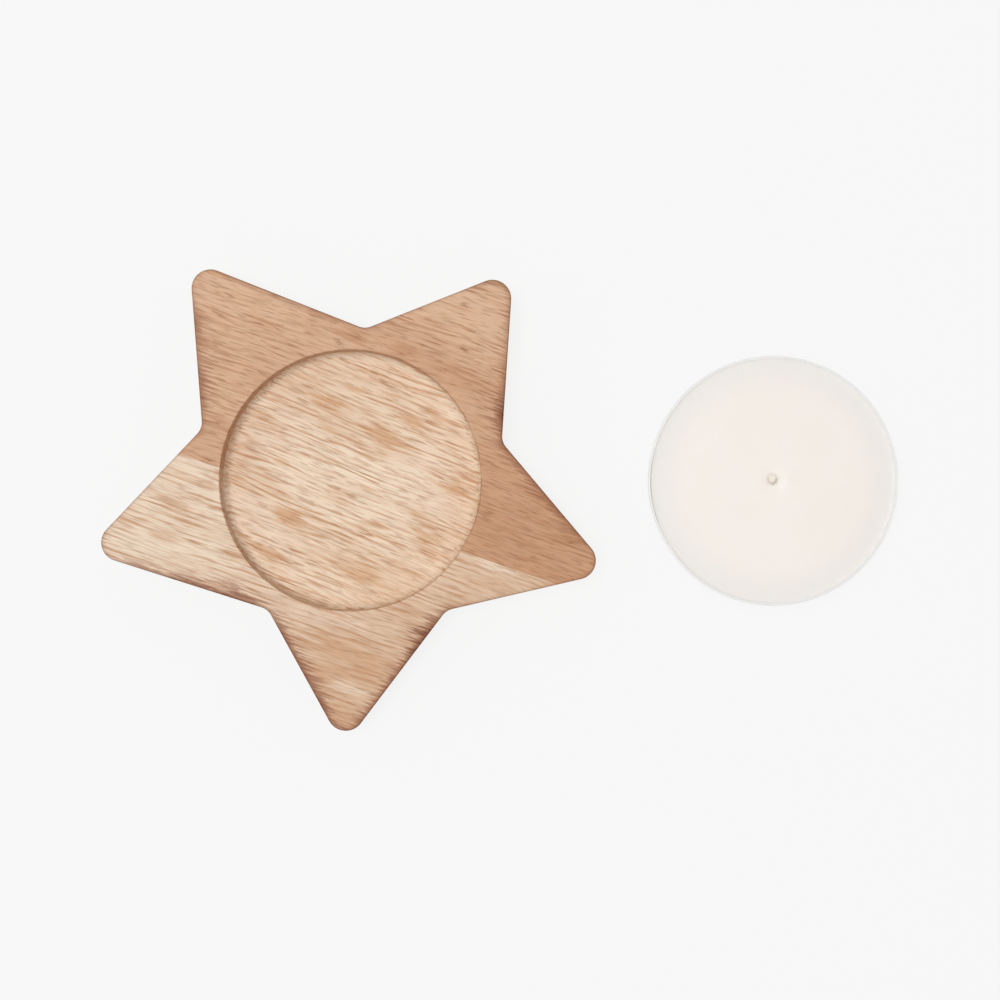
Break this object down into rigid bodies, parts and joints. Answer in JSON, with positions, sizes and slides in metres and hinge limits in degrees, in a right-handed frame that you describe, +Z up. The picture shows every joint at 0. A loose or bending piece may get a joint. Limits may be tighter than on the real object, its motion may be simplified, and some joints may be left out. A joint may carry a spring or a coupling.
{
  "type": "tealight holder",
  "caption": "Star-shaped wooden tealight holder glued up from boards, with a round flat-bottomed recess, and a tealight in a clear cup standing beside it.",
  "frame": {"origin": "on the axis of the round recess, at the holder's underside, which is the surface that it stands on", "axes": "+Z up, out of the recess's mouth; one tip of the star points along -Y; +X runs from the holder towards the tealight that stands beside it"},
  "size_m": [0.1206, 0.07, 0.0178],
  "materials": {
    "pale_wood": "bare sanded sapwood with fine brown pore flecks, scorched along the sawn edges",
    "brown_wood": "bare sanded heartwood with fine dark pore flecks, scorched along the sawn edges",
    "clear_plastic": "thin clear moulded plastic",
    "white_wax": "smooth satin paraffin wax, slightly translucent",
    "wick_cotton": "waxed braided cotton",
    "tinplate": "bright pressed tinplate"
  },
  "bodies": {
    "holder": {"base_board": "pale_wood", "heartwood_board": "brown_wood", "sapwood_board": "pale_wood"},
    "tealight": {"tealight_cup": "clear_plastic", "wax_fill": "white_wax", "wick": "wick_cotton", "wick_sustainer": "tinplate"}
  },
  "joints": [
    {"name": "tealight_lift", "type": "slide", "parent": "holder", "child": "tealight", "axis": [0, 0, 1], "range_m": [0, 0.04]}
  ]
}
